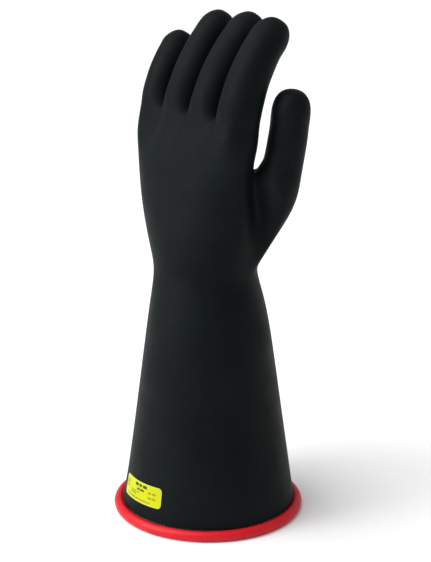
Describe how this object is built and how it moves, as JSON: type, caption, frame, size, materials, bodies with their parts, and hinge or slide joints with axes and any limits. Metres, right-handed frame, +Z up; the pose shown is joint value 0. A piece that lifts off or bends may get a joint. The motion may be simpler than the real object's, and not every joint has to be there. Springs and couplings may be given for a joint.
{
  "type": "electrical insulating glove",
  "caption": "Rubber insulating glove with a rolled cuff bead, a contrasting inner layer and a rating label; its wrist, fingers and thumb bend towards the palm.",
  "frame": {"origin": "on the surface that the cuff bead stands on, under the middle of the whole glove", "axes": "+Z up from the cuff to the fingertips, -Y out of the back of the hand, +Y out of the palm, +X towards the thumb; the cuff axis is vertical at x = 1.2 mm"},
  "size_m": [0.1412, 0.1388, 0.3615],
  "materials": {
    "black_rubber": "matte, lightly powdered",
    "red_rubber": "satin",
    "yellow_label": "matte printed film"
  },
  "bodies": {
    "cuff": {"outer_cuff": "black_rubber", "liner_cuff": "red_rubber", "cuff_bead": "red_rubber", "rating_label": "yellow_label"},
    "hand": {"outer_hand": "black_rubber", "liner_hand": "red_rubber"},
    "little_base": {"outer_little_base": "black_rubber", "liner_little_base": "red_rubber"},
    "little_middle": {"outer_little_middle": "black_rubber", "liner_little_middle": "red_rubber"},
    "little_tip": {"outer_little_tip": "black_rubber", "liner_little_tip": "red_rubber"},
    "ring_base": {"outer_ring_base": "black_rubber", "liner_ring_base": "red_rubber"},
    "ring_middle": {"outer_ring_middle": "black_rubber", "liner_ring_middle": "red_rubber"},
    "ring_tip": {"outer_ring_tip": "black_rubber", "liner_ring_tip": "red_rubber"},
    "middle_base": {"outer_middle_base": "black_rubber", "liner_middle_base": "red_rubber"},
    "middle_middle": {"outer_middle_middle": "black_rubber", "liner_middle_middle": "red_rubber"},
    "middle_tip": {"outer_middle_tip": "black_rubber", "liner_middle_tip": "red_rubber"},
    "index_base": {"outer_index_base": "black_rubber", "liner_index_base": "red_rubber"},
    "index_middle": {"outer_index_middle": "black_rubber", "liner_index_middle": "red_rubber"},
    "index_tip": {"outer_index_tip": "black_rubber", "liner_index_tip": "red_rubber"},
    "thumb_base": {"outer_thumb_base": "black_rubber", "liner_thumb_base": "red_rubber"},
    "thumb_tip": {"outer_thumb_tip": "black_rubber", "liner_thumb_tip": "red_rubber"}
  },
  "joints": [
    {"name": "wrist_flex", "type": "hinge", "parent": "cuff", "child": "hand", "pos_m": [-0.0014, 0, 0.179], "axis": [-1, 0, 0], "range_deg": [-30, 30], "stiffness_Nm_per_rad": 2},
    {"name": "little_base_flex", "type": "hinge", "parent": "hand", "child": "little_base", "pos_m": [-0.05668, 0.01172, 0.2999], "axis": [-0.9952, 0.0398, -0.0892], "range_deg": [-10, 30], "stiffness_Nm_per_rad": 0.25},
    {"name": "little_middle_flex", "type": "hinge", "parent": "little_base", "child": "little_middle", "pos_m": [-0.05781, 0.02086, 0.31667], "axis": [-0.9952, 0.0398, -0.0894], "range_deg": [0, 45], "stiffness_Nm_per_rad": 0.15},
    {"name": "little_tip_flex", "type": "hinge", "parent": "little_middle", "child": "little_tip", "pos_m": [-0.05837, 0.0289, 0.3265], "axis": [-0.9949, 0.0398, -0.0926], "range_deg": [0, 30], "stiffness_Nm_per_rad": 0.1},
    {"name": "ring_base_flex", "type": "hinge", "parent": "hand", "child": "ring_base", "pos_m": [-0.02793, 0.00813, 0.29972], "axis": [-0.9995, 0, -0.031], "range_deg": [-10, 30], "stiffness_Nm_per_rad": 0.25},
    {"name": "ring_middle_flex", "type": "hinge", "parent": "ring_base", "child": "ring_middle", "pos_m": [-0.02864, 0.02231, 0.32425], "axis": [-0.9997, 0, -0.0259], "range_deg": [0, 45], "stiffness_Nm_per_rad": 0.15},
    {"name": "ring_tip_flex", "type": "hinge", "parent": "ring_middle", "child": "ring_tip", "pos_m": [-0.02899, 0.03478, 0.33834], "axis": [-0.9997, 0, -0.0224], "range_deg": [0, 30], "stiffness_Nm_per_rad": 0.1},
    {"name": "middle_base_flex", "type": "hinge", "parent": "hand", "child": "middle_base", "pos_m": [0.0026, 0.00454, 0.29986], "axis": [-0.9991, -0.04, 0.0102], "range_deg": [-10, 30], "stiffness_Nm_per_rad": 0.25},
    {"name": "middle_middle_flex", "type": "hinge", "parent": "middle_base", "child": "middle_middle", "pos_m": [0.00241, 0.01902, 0.32538], "axis": [-0.9989, -0.04, 0.0247], "range_deg": [0, 45], "stiffness_Nm_per_rad": 0.15},
    {"name": "middle_tip_flex", "type": "hinge", "parent": "middle_middle", "child": "middle_tip", "pos_m": [0.0023, 0.03215, 0.33976], "axis": [-0.9984, -0.0399, 0.0397], "range_deg": [0, 30], "stiffness_Nm_per_rad": 0.1},
    {"name": "index_base_flex", "type": "hinge", "parent": "hand", "child": "index_base", "pos_m": [0.03478, 0.00115, 0.30069], "axis": [-0.9803, -0.1765, 0.0886], "range_deg": [-10, 30], "stiffness_Nm_per_rad": 0.25},
    {"name": "index_middle_flex", "type": "hinge", "parent": "index_base", "child": "index_middle", "pos_m": [0.03562, 0.01187, 0.32596], "axis": [-0.975, -0.1755, 0.1362], "range_deg": [0, 45], "stiffness_Nm_per_rad": 0.15},
    {"name": "index_tip_flex", "type": "hinge", "parent": "index_middle", "child": "index_tip", "pos_m": [0.03595, 0.02268, 0.34064], "axis": [-0.9671, -0.1741, 0.1857], "range_deg": [0, 30], "stiffness_Nm_per_rad": 0.1},
    {"name": "thumb_base_flex", "type": "hinge", "parent": "hand", "child": "thumb_base", "pos_m": [0.05285, 0.02775, 0.26781], "axis": [-0.9863, 0.0986, 0.1321], "range_deg": [-10, 10], "stiffness_Nm_per_rad": 0.25},
    {"name": "thumb_tip_flex", "type": "hinge", "parent": "thumb_base", "child": "thumb_tip", "pos_m": [0.05561, 0.02892, 0.28899], "axis": [-0.9886, 0.0989, 0.1137], "range_deg": [0, 30], "stiffness_Nm_per_rad": 0.1}
  ]
}
